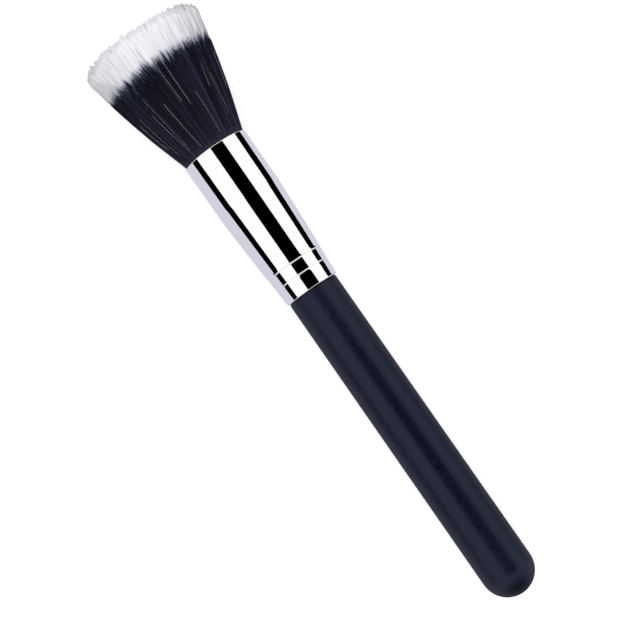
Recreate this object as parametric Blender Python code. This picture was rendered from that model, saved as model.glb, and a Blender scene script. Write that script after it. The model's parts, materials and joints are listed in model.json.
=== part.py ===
"""A stippling brush with two kinds of fibre, lying at rest on a flat surface.

Every piece is turned or laid along the brush's own axis: local +X runs from the butt of the
handle to the stippling face, and starts at the butt. An empty tilts the whole brush until the
butt and the rim of the head both touch the surface, with +Z up and the origin under its middle.
Lengths are in metres and angles in radians.
"""

import math

import bmesh
import bpy
from mathutils import Matrix, Vector

# Fits
SEAT_GAP = 0.0003  # between two pieces that seat on each other
FUSE_DEPTH = 0.0005  # how deep a fibre's root runs into the slice that carries it
CUT_OVERRUN = 0.0005  # how far a cutter runs past the faces that it cuts

# Turning
SIDES = 32  # facets round every turned piece, one of them flat down
DOME_STEPS = 7
LIP_STEPS = 4
POLE_MERGE = 0.0000003  # points of a turned piece this close to each other are one
SHARP_ANGLE = math.radians(30)  # edges sharper than this stay sharp in the shading

# Handle
HANDLE_LENGTH = 0.0992  # butt to shoulder
BUTT_RADIUS = 0.0076
BUTT_FLAT_RADIUS = 0.0015  # where the rounded butt was parted from the lathe
SHOULDER_CHAMFER = 0.00015
TENON_LENGTH = 0.0170
TENON_CHAMFER = 0.0008

# Ferrule
FERRULE_LENGTH = 0.0465
FERRULE_FOOT_RADIUS = 0.0080
FERRULE_MOUTH_RADIUS = 0.0098
FERRULE_WALL = 0.00045
FERRULE_PROUD = 0.0005  # how far its foot stands out from the handle's shoulder
FERRULE_TAPER_LENGTH = 0.0300  # from the foot to where the tube runs straight
FERRULE_TAPER_STEPS = 9
FERRULE_BULGE_SHARE = 0.3  # how far the taper swells beyond a straight cone
CRIMP_HEIGHT = 0.0047  # from the foot to the first crimp
CRIMP_SPACING = 0.0038
CRIMP_COUNT = 2
CRIMP_WIDTH = 0.0008
CRIMP_DEPTH = 0.0003
CRIMP_STEPS = 4

# Head of fibres, with heights above the mouth of the ferrule
HEAD_RADIUS = 0.01835
HEAD_LENGTH = 0.0377
HEAD_BULGE_SHARE = 0.25  # how far the fan of fibres swells beyond a straight cone
HEAD_SETTLE = 0.0005  # how far the rim flattens on the surface that it lies on
DARK_LENGTH = 0.0275
DARK_RAGGEDNESS = 0.0022  # spread of the lengths of the dark fibres
WHITE_RAGGEDNESS = 0.0010
WHITE_TIP_LENGTH = 0.0018  # from the widest rim of the head to the longest tips
WHITE_TIP_DRAW_IN = 0.0004  # how far the tips turn in above the rim

# Fibres: three-sided strands on rings of a honeycomb, with one flat side outwards.
# Fill shares give a strand's radius as a share of the spacing of the rings at that height.
FIBRE_SIDES = 3
FIBRE_RINGS = 10
HONEYCOMB_SIDES = 6
WHITE_EVERY = 3  # each third place along a ring, except on the outermost, holds a white strand
DARK_ROOT_FILL_SHARE = 0.23
DARK_BELLY_FILL_SHARE = 0.43
DARK_BELLY_SHARE = 0.5  # of a dark strand's length
WHITE_ROOT_FILL_SHARE = 0.18
WHITE_WAIST_FILL_SHARE = 0.45
WHITE_WAIST_SHARE = 0.84  # of the dark fibres' length
WHITE_RIM_FILL_SHARE = 0.87
PASSAGE_GAP = 0.0002  # round a white strand where it passes the dark slice
SCATTER_SHARE = 0.618034  # of the spread, from one strand's length to the next

# Roots inside the ferrule, with depths below the mouth
SLICE_DEPTH = 0.0005  # the mouth to the top of the dark slice
SLICE_THICKNESS = 0.0020
KNOT_INSET = 0.00165  # how far the binding draws the foot of the bundle in
KNOT_FLARE_LENGTH = 0.0026  # from the binding to where the bundle fills the ferrule
ROOT_GLUE_TOP_DEPTH = 0.0100
ROOT_GLUE_LENGTH = 0.0095
ROOT_SOCKET_DEPTH = 0.0050
THREAD_RADIUS = 0.0003
THREAD_TURNS = 3
THREAD_STEPS = 4
TENON_GLUE_INSET = 0.0010  # from the last crimp to the edge of the glue
TENON_GLUE_CAP = 0.0012  # glue pooled over the end of the tenon

# Finishes: name, colour, roughness, metallic
NAVY_PAINT = ("navy_paint", (0.018, 0.024, 0.042), 0.55, 0)
CHROME = ("chrome", (0.80, 0.80, 0.82), 0.08, 1)
DARK_HAIR = ("dark_hair", (0.012, 0.012, 0.020), 0.6, 0)
WHITE_FILAMENT = ("white_filament", (0.80, 0.78, 0.82), 0.5, 0)
CLEAR_RESIN = ("clear_resin", (0.45, 0.36, 0.20), 0.3, 0)
COTTON_THREAD = ("cotton_thread", (0.60, 0.57, 0.50), 0.9, 0)
WHITE_GLUE = ("white_glue", (0.70, 0.68, 0.60), 0.5, 0)

# Places and sizes that follow from these
BUTT_CENTRE = math.sqrt(BUTT_RADIUS**2 - BUTT_FLAT_RADIUS**2)
SHOULDER_RADIUS = FERRULE_FOOT_RADIUS - FERRULE_PROUD
TENON_END = HANDLE_LENGTH + TENON_LENGTH
TENON_RADIUS = FERRULE_FOOT_RADIUS - FERRULE_WALL - SEAT_GAP
FOOT = HANDLE_LENGTH + SEAT_GAP
MOUTH = FOOT + FERRULE_LENGTH
HEAD_WIDEST_HEIGHT = HEAD_LENGTH - WHITE_TIP_LENGTH
WHITE_RINGS = FIBRE_RINGS - 1
BUNDLE_RADIUS = FERRULE_MOUTH_RADIUS - FERRULE_WALL - SEAT_GAP
SLICE_TOP = MOUTH - SLICE_DEPTH
SLICE_BOTTOM = SLICE_TOP - SLICE_THICKNESS
BUNDLE_TOP = SLICE_BOTTOM - SEAT_GAP
KNOT_RADIUS = BUNDLE_RADIUS - KNOT_INSET
WAIST_RADIUS = KNOT_RADIUS - 2 * THREAD_RADIUS
BINDING_LENGTH = 2 * THREAD_RADIUS * THREAD_TURNS
ROOT_GLUE_TOP = MOUTH - ROOT_GLUE_TOP_DEPTH
ROOT_GLUE_BOTTOM = ROOT_GLUE_TOP - ROOT_GLUE_LENGTH
SOCKET_FLOOR = ROOT_GLUE_TOP - ROOT_SOCKET_DEPTH

# The surface that the brush lies on touches the lowest facet of the butt and the flattened rim.
BUTT_LOW = BUTT_RADIUS * math.cos(math.pi / SIDES)
RIM_LOW = HEAD_RADIUS - HEAD_SETTLE
RIM = MOUTH + HEAD_WIDEST_HEIGHT
LIE_SLOPE = (RIM_LOW - BUTT_LOW) / (RIM - BUTT_CENTRE)


def clear_scene():
    """Removes whatever the scene starts with."""
    for old in list(bpy.data.objects):
        bpy.data.objects.remove(old, do_unlink=True)


def make_material(name, colour, roughness, metallic):
    """A plain surface of one colour."""
    material = bpy.data.materials.new(name)
    material.use_nodes = True
    shader = material.node_tree.nodes["Principled BSDF"]
    shader.inputs["Base Color"].default_value = (*colour, 1)
    shader.inputs["Roughness"].default_value = roughness
    shader.inputs["Metallic"].default_value = metallic
    material.diffuse_color = (*colour, 1)
    return material


def make_object(name, bm, parent):
    """The bmesh as an object of this name, on the brush's axis."""
    mesh = bpy.data.meshes.new(name)
    bm.to_mesh(mesh)
    bm.free()
    piece = bpy.data.objects.new(name, mesh)
    piece.parent = parent
    bpy.context.scene.collection.objects.link(piece)
    return piece


def turned(name, profile, parent, closed=False):
    """A profile of (x, radius) points, turned about the axis with a flat facet down.

    An open profile starts and ends on the axis. A closed one is a ring's section.
    """
    bm = bmesh.new()
    lean = math.pi / SIDES
    points = [bm.verts.new((x, r * math.sin(lean), -r * math.cos(lean))) for x, r in profile]
    edges = [bm.edges.new(pair) for pair in zip(points, points[1:])]
    if closed:
        edges.append(bm.edges.new((points[-1], points[0])))
    bmesh.ops.spin(
        bm,
        geom=points + edges,
        cent=(0, 0, 0),
        axis=(1, 0, 0),
        angle=math.tau,
        steps=SIDES,
        use_merge=True,
    )
    bmesh.ops.remove_doubles(bm, verts=bm.verts, dist=POLE_MERGE)
    bmesh.ops.recalc_face_normals(bm, faces=bm.faces)
    piece = make_object(name, bm, parent)
    piece.data.shade_smooth()
    piece.data.set_sharp_from_angle(angle=SHARP_ANGLE)
    return piece


def arc(centre_x, centre_r, radius, start, end, steps):
    """Points of an arc in the profile plane, from one angle to another about its centre."""
    angles = [start + (end - start) * step / steps for step in range(steps + 1)]
    return [(centre_x + radius * math.cos(a), centre_r + radius * math.sin(a)) for a in angles]


def make_handle(parent):
    """The turned stick: rounded butt, barrel, chamfered shoulder and tenon."""
    flat_edge = math.pi - math.asin(BUTT_FLAT_RADIUS / BUTT_RADIUS)
    dome = arc(BUTT_CENTRE, 0, BUTT_RADIUS, flat_edge, math.pi / 2, DOME_STEPS)
    profile = [(0, 0), *dome]
    profile += [
        (HANDLE_LENGTH - SHOULDER_CHAMFER, SHOULDER_RADIUS),
        (HANDLE_LENGTH, SHOULDER_RADIUS - SHOULDER_CHAMFER),
        (HANDLE_LENGTH, TENON_RADIUS),
        (TENON_END - TENON_CHAMFER, TENON_RADIUS),
        (TENON_END, TENON_RADIUS - TENON_CHAMFER),
        (TENON_END, 0),
    ]
    return turned("handle", profile, parent)


def ferrule_radius(height):
    """Outside radius of the ferrule's plain taper at a height above its foot."""
    share = min(height / FERRULE_TAPER_LENGTH, 1)
    swell = share + FERRULE_BULGE_SHARE * share * (1 - share)
    return FERRULE_FOOT_RADIUS + (FERRULE_MOUTH_RADIUS - FERRULE_FOOT_RADIUS) * swell


def ferrule_bore(x):
    """Inside radius of the ferrule at a place along the axis, between its crimps."""
    return ferrule_radius(x - FOOT) - FERRULE_WALL


def crimp_heights():
    """Heights of the crimps above the foot, the lowest first."""
    return [CRIMP_HEIGHT + CRIMP_SPACING * number for number in range(CRIMP_COUNT)]


def crimped_radius(height):
    """Outside radius of the ferrule with its crimps, each a smooth rolled groove."""
    radius = ferrule_radius(height)
    for crimp in crimp_heights():
        away = abs(height - crimp) / (CRIMP_WIDTH / 2)
        if away < 1:
            radius -= CRIMP_DEPTH * (1 + math.cos(math.pi * away)) / 2
    return radius


def ferrule_stations():
    """Heights of the profile's points: even steps up the taper, closer ones in the crimps."""
    round_end = FERRULE_WALL / 2
    crimps = crimp_heights()
    steps = [FERRULE_TAPER_LENGTH * n / FERRULE_TAPER_STEPS for n in range(FERRULE_TAPER_STEPS + 1)]
    plain = [h for h in steps if h > round_end and all(abs(h - c) > CRIMP_WIDTH for c in crimps)]
    rolled = [
        crimp + CRIMP_WIDTH * (step / CRIMP_STEPS - 1 / 2)
        for crimp in crimps
        for step in range(CRIMP_STEPS + 1)
    ]
    return [round_end, *sorted(plain + rolled), FERRULE_LENGTH - round_end]


def make_ferrule(parent):
    """The drawn tube, of one wall thickness, with half-round edges at foot and mouth."""
    round_end = FERRULE_WALL / 2
    heights = ferrule_stations()
    outside = [(FOOT + h, crimped_radius(h)) for h in heights]
    inside = [(x, r - FERRULE_WALL) for x, r in reversed(outside)]
    mouth_x, mouth_r = outside[-1]
    foot_x, foot_r = outside[0]
    quarter = math.pi / 2
    lip = arc(mouth_x, mouth_r - round_end, round_end, quarter, -quarter, LIP_STEPS)
    hem = arc(foot_x, foot_r - round_end, round_end, 3 * quarter, quarter, LIP_STEPS)
    profile = outside + lip[1:-1] + inside + hem[1:-1]
    return turned("ferrule", profile, parent, closed=True)


def head_radius(height):
    """Outside radius of the fan of fibres at a height above the mouth, below it too."""
    share = height / HEAD_WIDEST_HEIGHT
    swell = share + HEAD_BULGE_SHARE * share * (1 - share)
    return BUNDLE_RADIUS + (HEAD_RADIUS - BUNDLE_RADIUS) * swell


def honeycomb():
    """Yields (ring, turn share, white) for each strand, from the middle of the head outwards."""
    yield 0, 0, True
    for ring in range(1, FIBRE_RINGS + 1):
        for place in range(HONEYCOMB_SIDES * ring):
            along_side = place % ring
            white = ring <= WHITE_RINGS and (ring + along_side) % WHITE_EVERY == 0
            yield ring, place / (HONEYCOMB_SIDES * ring), white


def section(height, ring_share, turn_share, fill_share, extra=0):
    """The matrix that puts a unit triangle on a strand, flat side outwards, at a height.

    The fill share gives the triangle's radius, and extra widens it about the same place. The
    pattern is turned so that two outermost white strands straddle the lowest line.
    """
    rim_turn = WHITE_EVERY / (HONEYCOMB_SIDES * WHITE_RINGS)
    turn = math.tau * (turn_share + rim_turn / 2)
    fan_radius = min(head_radius(height), HEAD_RADIUS)
    strand_radius = fill_share * fan_radius / FIBRE_RINGS
    flat_side = strand_radius * math.cos(math.pi / FIBRE_SIDES)
    away = ring_share * (fan_radius - flat_side)
    upright = Matrix(((0, 0, 1), (1, 0, 0), (0, 1, 0))).to_4x4()
    place = Matrix.Translation((MOUTH + height, 0, -away))
    size = Matrix.Scale(strand_radius + extra, 4)
    return Matrix.Rotation(turn, 4, "X") @ place @ upright @ size


def draw_on(bm, face, root):
    """Extrudes a strand's end face, drops the old one unless it is the root, returns the new."""
    drawn = bmesh.ops.extrude_face_region(bm, geom=[face])["geom"]
    if face is not root:
        bmesh.ops.delete(bm, geom=[face], context="FACES_ONLY")
    return next(item for item in drawn if isinstance(item, bmesh.types.BMFace))


def add_strand(bm, sections, tip=None):
    """One strand: a triangle drawn from section to section and, with a tip, to a point."""
    made = bmesh.ops.create_circle(
        bm, cap_ends=True, segments=FIBRE_SIDES, radius=1, matrix=sections[0]
    )
    root = made["verts"][0].link_faces[0]
    face = root
    for lower, upper in zip(sections, sections[1:]):
        face = draw_on(bm, face, root)
        bmesh.ops.transform(bm, matrix=upper @ lower.inverted(), verts=face.verts)
    if tip is not None:
        face = draw_on(bm, face, root)
        bmesh.ops.pointmerge(bm, verts=face.verts, merge_co=tip)


def ragged(count, length, raggedness):
    """The length of the strand of this number, spread evenly over the raggedness."""
    return length - raggedness * (count * SCATTER_SHARE % 1)


def add_dark_strand(bm, ring, turn_share, count):
    """A dark strand: stout at its belly and drawn to a point."""
    share = ring / FIBRE_RINGS
    length = ragged(count, DARK_LENGTH, DARK_RAGGEDNESS)
    root = -SLICE_DEPTH - FUSE_DEPTH
    belly = length * DARK_BELLY_SHARE
    sections = [
        section(root, share, turn_share, DARK_ROOT_FILL_SHARE),
        section(belly, share, turn_share, DARK_BELLY_FILL_SHARE),
    ]
    point = section(length, share, turn_share, DARK_ROOT_FILL_SHARE)
    add_strand(bm, sections, point.to_translation())


def white_lower_sections(ring, turn_share, root, extra=0):
    """The thin stretch of a white strand, from its root to above the bellies of the dark."""
    share = ring / FIBRE_RINGS
    waist = DARK_LENGTH * WHITE_WAIST_SHARE
    return [
        section(root, share, turn_share, WHITE_ROOT_FILL_SHARE, extra),
        section(waist, share, turn_share, WHITE_WAIST_FILL_SHARE, extra),
    ]


def add_white_strand(bm, ring, turn_share, count):
    """A white strand: above the dark tips it widens and leans out to fill the whole rim."""
    rim_share = ring / WHITE_RINGS
    sections = white_lower_sections(ring, turn_share, BUNDLE_TOP - MOUTH - FUSE_DEPTH)
    rim = section(HEAD_WIDEST_HEIGHT, rim_share, turn_share, WHITE_RIM_FILL_SHARE)
    sections.append(rim)
    tip = rim.to_translation()
    tip.x = MOUTH + ragged(count, HEAD_LENGTH, WHITE_RAGGEDNESS)
    inwards = 1 - rim_share * WHITE_TIP_DRAW_IN / HEAD_RADIUS
    tip.yz = tip.yz * inwards
    add_strand(bm, sections, tip)


def add_passage(bm, ring, turn_share):
    """The way through the dark slice for one white strand: its lower stretch, grown all round."""
    grown = PASSAGE_GAP / math.cos(math.pi / FIBRE_SIDES)
    root = BUNDLE_TOP - MOUTH - CUT_OVERRUN
    add_strand(bm, white_lower_sections(ring, turn_share, root, grown))


def settle(bm):
    """Lifts what would dip below the surface on to it, as fibres flatten where a brush lies."""
    for vertex in bm.verts:
        surface = -BUTT_LOW - (vertex.co.x - BUTT_CENTRE) * LIE_SLOPE
        vertex.co.z = max(vertex.co.z, surface)


def hide_helper(helper):
    """Keeps a shape that only cuts or joins others out of the finished brush."""
    helper.hide_render = True
    helper.display_type = "WIRE"


def make_strands(name, parent, add_one, white):
    """All strands of one kind as closed bodies in one helper object."""
    bm = bmesh.new()
    kind = [(ring, turn_share) for ring, turn_share, is_white in honeycomb() if is_white == white]
    for count, (ring, turn_share) in enumerate(kind):
        add_one(bm, ring, turn_share, count)
    settle(bm)
    bmesh.ops.recalc_face_normals(bm, faces=bm.faces)
    helper = make_object(name, bm, parent)
    hide_helper(helper)
    return helper


def make_passages(parent):
    """All ways through the dark slice as one cutter."""
    bm = bmesh.new()
    for ring, turn_share, is_white in honeycomb():
        if is_white:
            add_passage(bm, ring, turn_share)
    bmesh.ops.recalc_face_normals(bm, faces=bm.faces)
    helper = make_object("white_passage_cutter", bm, parent)
    hide_helper(helper)
    return helper


def combine(piece, other, operation):
    """Joins the other shape to the piece, or cuts it away."""
    change = piece.modifiers.new(operation.title(), "BOOLEAN")
    change.operation = operation
    change.solver = "EXACT"
    change.object = other


def make_dark_fibres(parent):
    """The short fibres, fused to a slice at the mouth that lets the white ones through."""
    profile = [
        (SLICE_BOTTOM, 0),
        (SLICE_BOTTOM, BUNDLE_RADIUS),
        (SLICE_TOP, BUNDLE_RADIUS),
        (SLICE_TOP, 0),
    ]
    root_slice = turned("dark_fibres", profile, parent)
    combine(root_slice, make_passages(parent), "DIFFERENCE")
    strands = make_strands("dark_strands", parent, add_dark_strand, white=False)
    combine(root_slice, strands, "UNION")
    return root_slice, strands


def make_white_fibres(parent):
    """The long fibres, fused to the top of the packed bundle, with the bundle's bound foot."""
    waist_end = ROOT_GLUE_TOP + BINDING_LENGTH + 2 * SEAT_GAP
    profile = [
        (SOCKET_FLOOR + SEAT_GAP, 0),
        (SOCKET_FLOOR + SEAT_GAP, KNOT_RADIUS),
        (ROOT_GLUE_TOP, KNOT_RADIUS),
        (ROOT_GLUE_TOP, WAIST_RADIUS),
        (waist_end, WAIST_RADIUS),
        (waist_end, KNOT_RADIUS),
        (waist_end + KNOT_FLARE_LENGTH, BUNDLE_RADIUS),
        (BUNDLE_TOP, BUNDLE_RADIUS),
        (BUNDLE_TOP, 0),
    ]
    bundle = turned("white_fibres", profile, parent)
    strands = make_strands("white_strands", parent, add_white_strand, white=True)
    combine(bundle, strands, "UNION")
    return bundle, strands


def make_root_glue(parent):
    """The plug of resin that fills the ferrule under the bundle and cups its foot."""
    socket_radius = KNOT_RADIUS + SEAT_GAP
    profile = [
        (ROOT_GLUE_BOTTOM, 0),
        (ROOT_GLUE_BOTTOM, ferrule_bore(ROOT_GLUE_BOTTOM) - SEAT_GAP),
        (SOCKET_FLOOR, ferrule_bore(SOCKET_FLOOR) - SEAT_GAP),
        (ROOT_GLUE_TOP, ferrule_bore(ROOT_GLUE_TOP) - SEAT_GAP),
        (ROOT_GLUE_TOP, socket_radius),
        (SOCKET_FLOOR, socket_radius),
        (SOCKET_FLOOR, 0),
    ]
    return turned("root_glue", profile, parent)


def make_knot_thread(parent):
    """The binding: turns of thread side by side round the knot, each a round ridge."""
    start = ROOT_GLUE_TOP + SEAT_GAP
    inner = WAIST_RADIUS + SEAT_GAP
    profile = [(start, inner)]
    for turn in range(THREAD_TURNS):
        centre = start + THREAD_RADIUS * (1 + 2 * turn)
        ridge = arc(centre, inner + THREAD_RADIUS, THREAD_RADIUS, math.pi, 0, THREAD_STEPS)
        profile += ridge if turn == 0 else ridge[1:]
    profile.append((start + BINDING_LENGTH, inner))
    return turned("knot_tie_thread", profile, parent, closed=True)


def make_tenon_glue(parent):
    """The resin between tenon and ferrule above the crimps, pooled over the tenon's end."""
    start = FOOT + crimp_heights()[-1] + CRIMP_WIDTH / 2 + TENON_GLUE_INSET
    inside_end = TENON_END + SEAT_GAP
    end = inside_end + TENON_GLUE_CAP
    inner = TENON_RADIUS + SEAT_GAP
    profile = [
        (inside_end, 0),
        (inside_end, inner),
        (start, inner),
        (start, ferrule_bore(start) - SEAT_GAP),
        (end, ferrule_bore(end) - SEAT_GAP),
        (end, 0),
    ]
    return turned("tenon_glue", profile, parent)


def lay_down(axis, pieces):
    """Tilts the axis on to the surface and brings the origin under the middle of the pieces."""
    tilt = Matrix.Rotation(-math.atan(LIE_SLOPE), 4, "Y")
    corners = [tilt @ vertex.co for piece in pieces for vertex in piece.data.vertices]
    along = [corner.x for corner in corners]
    lowest = min(corner.z for corner in corners)
    middle = (min(along) + max(along)) / 2
    axis.matrix_world = Matrix.Translation(Vector((-middle, 0, -lowest))) @ tilt


def main():
    clear_scene()
    axis = bpy.data.objects.new("brush_axis", None)
    bpy.context.scene.collection.objects.link(axis)
    handle = make_handle(axis)
    dark_fibres, dark_strands = make_dark_fibres(axis)
    white_fibres, white_strands = make_white_fibres(axis)
    finished = (
        (handle, NAVY_PAINT),
        (make_ferrule(axis), CHROME),
        (dark_fibres, DARK_HAIR),
        (white_fibres, WHITE_FILAMENT),
        (make_root_glue(axis), CLEAR_RESIN),
        (make_knot_thread(axis), COTTON_THREAD),
        (make_tenon_glue(axis), WHITE_GLUE),
    )
    for piece, finish in finished:
        piece.data.materials.append(make_material(*finish))
    lay_down(axis, [handle, dark_strands, white_strands])


main()
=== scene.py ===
"""The looks of a stippling brush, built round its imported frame.

The brush lies on its side, so that the butt of its handle and the rim of its head touch the
floor. Each piece is made along a straight axis, on which local +X runs from the butt to the
stippling face, and is then laid where the frame's butt mount says. Lengths are in metres and
angles in radians.
"""

from __future__ import annotations

import json
import logging
import math
import random
from collections.abc import Callable, Iterator, Sequence
from dataclasses import dataclass
from enum import Enum
from typing import Any, Union

import bmesh
import bpy
from mathutils import Matrix, Vector, noise
from mathutils.kdtree import KDTree

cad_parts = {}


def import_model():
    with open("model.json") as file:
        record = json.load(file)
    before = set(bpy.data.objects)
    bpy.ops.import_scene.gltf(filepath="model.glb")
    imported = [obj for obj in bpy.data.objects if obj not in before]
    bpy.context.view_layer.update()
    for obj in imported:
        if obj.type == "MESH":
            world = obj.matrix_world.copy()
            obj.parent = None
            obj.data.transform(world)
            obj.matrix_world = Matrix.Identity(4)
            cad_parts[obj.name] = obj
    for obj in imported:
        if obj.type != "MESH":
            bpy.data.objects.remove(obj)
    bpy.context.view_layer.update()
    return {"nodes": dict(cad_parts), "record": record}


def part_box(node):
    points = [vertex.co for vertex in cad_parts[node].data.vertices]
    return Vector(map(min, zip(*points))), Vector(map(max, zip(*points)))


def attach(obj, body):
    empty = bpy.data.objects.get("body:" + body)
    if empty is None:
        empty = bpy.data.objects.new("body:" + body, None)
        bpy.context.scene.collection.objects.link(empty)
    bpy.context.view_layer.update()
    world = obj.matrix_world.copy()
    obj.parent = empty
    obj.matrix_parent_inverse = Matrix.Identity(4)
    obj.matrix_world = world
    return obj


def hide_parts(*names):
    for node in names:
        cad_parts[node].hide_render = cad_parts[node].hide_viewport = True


LOG = logging.getLogger("stippling_brush")
BODY = "root"

Triple = tuple[float, float, float]
Colour = Triple
Stops = tuple[tuple[float, Colour], ...]
Socket = bpy.types.NodeSocket
Value = Union[float, Socket]
Profile = list[tuple[float, float]]

TURN_STEPS = 192
POLE_MERGE = 0.0000003
SHARP_ANGLE = math.radians(30)
SEAT_GAP = 0.0003
GOLDEN_TURN = math.pi * (3 - math.sqrt(5))
STRAND_SIDES = 3
# The fibres are shared out among pieces of no more triangles than this.
PIECE_TRIANGLES = 180000

WHITE: Colour = (1.0, 1.0, 1.0)
BLACK: Colour = (0.0, 0.0, 0.0)
NOISE_DETAIL = 2.0

# The sockets of a Mix node that is set to colours go by number, because several share a name.
MIX_SHARE = 0
MIX_FIRST = 6
MIX_SECOND = 7
MIX_RESULT = 2


class Slot(Enum):
    """The names of the record's material slots that match the finer pieces' finishes."""

    NAVY_PAINT = "navy_paint"
    CHROME = "chrome"
    DARK_HAIR = "dark_hair"
    WHITE_FILAMENT = "white_filament"


class Layer(Enum):
    """The values that each fibre carries along for its material."""

    TONE = "tone"
    HEIGHT = "height"


@dataclass(frozen=True)
class Span:
    """How far a node of the frame reaches along the brush and away from its axis."""

    start: float
    end: float
    radius: float


@dataclass(frozen=True)
class BrushAxis:
    """Where the straight axis that the pieces are made along lies in the frame."""

    butt: Vector
    along: Vector

    @classmethod
    def from_record(cls, record: dict[str, Any]) -> BrushAxis:
        """Reads the axis off the record's mount on the flat of the butt."""
        mount = next(mount for mount in record["mounts"] if mount["name"] == "butt_flat")
        return cls(Vector(mount["pos_m"]), -Vector(mount["axis"]).normalized())

    @property
    def right(self) -> Vector:
        """The level direction to the brush's right, seen from above with its head up."""
        return Vector((0, -1, 0))

    @property
    def upper(self) -> Vector:
        """The direction square to the axis that points away from the floor."""
        return self.right.cross(self.along).normalized()

    @property
    def turn(self) -> Matrix:
        """Turns the straight axis into the brush's direction."""
        return self.along.to_track_quat("X", "Z").to_matrix()

    @property
    def matrix(self) -> Matrix:
        """Carries what is made on the straight axis to its place in the frame."""
        return Matrix.Translation(self.butt) @ self.turn.to_4x4()

    def span(self, node: bpy.types.Object) -> Span:
        """Measures a node of the frame along the axis.

        Args:
            node: The node's object.

        Returns:
            Its two ends and its greatest radius.
        """
        back = self.matrix.inverted()
        places = [back @ vertex.co for vertex in node.data.vertices]
        along = [place.x for place in places]
        return Span(min(along), max(along), max(place.yz.length for place in places))


class NodeTree:
    """A short way to add nodes to the tree of a material or a world and to join them."""

    def __init__(self, owner: bpy.types.Material | bpy.types.World) -> None:
        """Empties the owner's node tree.

        Args:
            owner: The material or world that the nodes are for.
        """
        owner.use_nodes = True
        self.owner = owner
        self.tree = owner.node_tree
        self.tree.nodes.clear()

    def add(self, kind: str, inputs: dict[Any, Any] | None = None, **settings: Any) -> bpy.types.Node:
        """Adds a node.

        Args:
            kind: The node's type.
            inputs: A plain value or a socket to read for each named or numbered input.
            **settings: Values for the node's own properties.

        Returns:
            The new node.
        """
        node = self.tree.nodes.new(kind)
        for name, value in settings.items():
            setattr(node, name, value)
        self.feed(node, inputs or {})
        return node

    def feed(self, node: bpy.types.Node, inputs: dict[Any, Any]) -> None:
        """Fills a node's inputs.

        Args:
            node: The node.
            inputs: A plain value or a socket to read for each named or numbered input.
        """
        for name, value in inputs.items():
            if isinstance(value, Socket):
                self.tree.links.new(value, node.inputs[name])
            else:
                node.inputs[name].default_value = value

    def math(self, operation: str, first: Value, second: Value = 0.0) -> Socket:
        """Works out one operation of a Math node on values or sockets."""
        node = self.add("ShaderNodeMath", {0: first, 1: second}, operation=operation)
        return node.outputs["Value"]

    def apart(self, first: Value, second: Value) -> Socket:
        """Works out how far apart two values are."""
        return self.math("ABSOLUTE", self.math("SUBTRACT", first, second))

    def blend(self, share: Value, first: Any, second: Any) -> Socket:
        """Mixes two colours.

        Args:
            share: How much of the second colour shows, from 0 to 1.
            first: A colour or a socket.
            second: A colour or a socket.

        Returns:
            The socket with the mixed colour.
        """
        first, second = (
            colour if isinstance(colour, Socket) else (*colour, 1) for colour in (first, second)
        )
        inputs = {MIX_SHARE: share, MIX_FIRST: first, MIX_SECOND: second}
        return self.add("ShaderNodeMix", inputs, data_type="RGBA").outputs[MIX_RESULT]

    def spread(self, value: Value, low: float, high: float, ends: tuple[float, float] = (0, 1)) -> Socket:
        """Maps what lies between the two ends on to the range from low to high."""
        inputs = {"Value": value, "From Min": ends[0], "From Max": ends[1], "To Min": low, "To Max": high}
        return self.add("ShaderNodeMapRange", inputs).outputs["Result"]

    def ramp(self, value: Socket, stops: Stops) -> Socket:
        """Reads a colour off a smooth ramp.

        Args:
            value: Where on the ramp, from 0 to 1.
            stops: The place and the colour of each stop, in order.

        Returns:
            The socket with the colour.
        """
        node = self.add("ShaderNodeValToRGB", {"Fac": value})
        ramp = node.color_ramp
        while len(ramp.elements) < len(stops):
            ramp.elements.new(1)
        for element, (place, colour) in zip(ramp.elements, stops):
            element.position = place
            element.color = (*colour, 1)
        return node.outputs["Color"]

    def noise(self, place: Socket, size: float) -> Socket:
        """Makes soft random values from 0 to 1, with blotches of about the given size."""
        inputs = {"Vector": place, "Scale": 1 / size, "Detail": NOISE_DETAIL}
        return self.add("ShaderNodeTexNoise", inputs).outputs["Fac"]

    def brush_place(self, axis: BrushAxis, stretch: Triple = (1, 1, 1)) -> Socket:
        """Makes coordinates along and across the brush, whatever way it lies.

        Args:
            axis: Where the brush lies.
            stretch: How much longer a pattern gets along and across the brush.

        Returns:
            The socket with the coordinates.
        """
        inputs = {
            "Vector": self.add("ShaderNodeTexCoord").outputs["Object"],
            "Location": axis.butt,
            "Rotation": axis.turn.to_euler(),
            "Scale": stretch,
        }
        return self.add("ShaderNodeMapping", inputs, vector_type="TEXTURE").outputs["Vector"]

    def relief(self, height: Socket, depth: float) -> Socket:
        """Bends the normal by a bump whose height of 1 stands for the given depth."""
        inputs = {"Height": height, "Distance": depth, "Strength": 1.0}
        return self.add("ShaderNodeBump", inputs).outputs["Normal"]

    def surface(self, plain: Colour, inputs: dict[str, Any]) -> bpy.types.Material:
        """Ends a material with one principled shader.

        Args:
            plain: The material's colour as one plain tone.
            inputs: A plain value or a socket for each of the shader's inputs.

        Returns:
            The material.
        """
        shader = self.add("ShaderNodeBsdfPrincipled", {"Base Color": (*plain, 1)})
        self.feed(shader, inputs)
        self.add("ShaderNodeOutputMaterial", {"Surface": shader.outputs["BSDF"]})
        return self.owner

    def seen(self) -> Socket:
        """Makes 1 for the rays that the camera sees by, straight or through something clear."""
        path = self.add("ShaderNodeLightPath")
        return self.math("MAXIMUM", path.outputs["Is Camera Ray"], path.outputs["Is Transmission Ray"])


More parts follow.
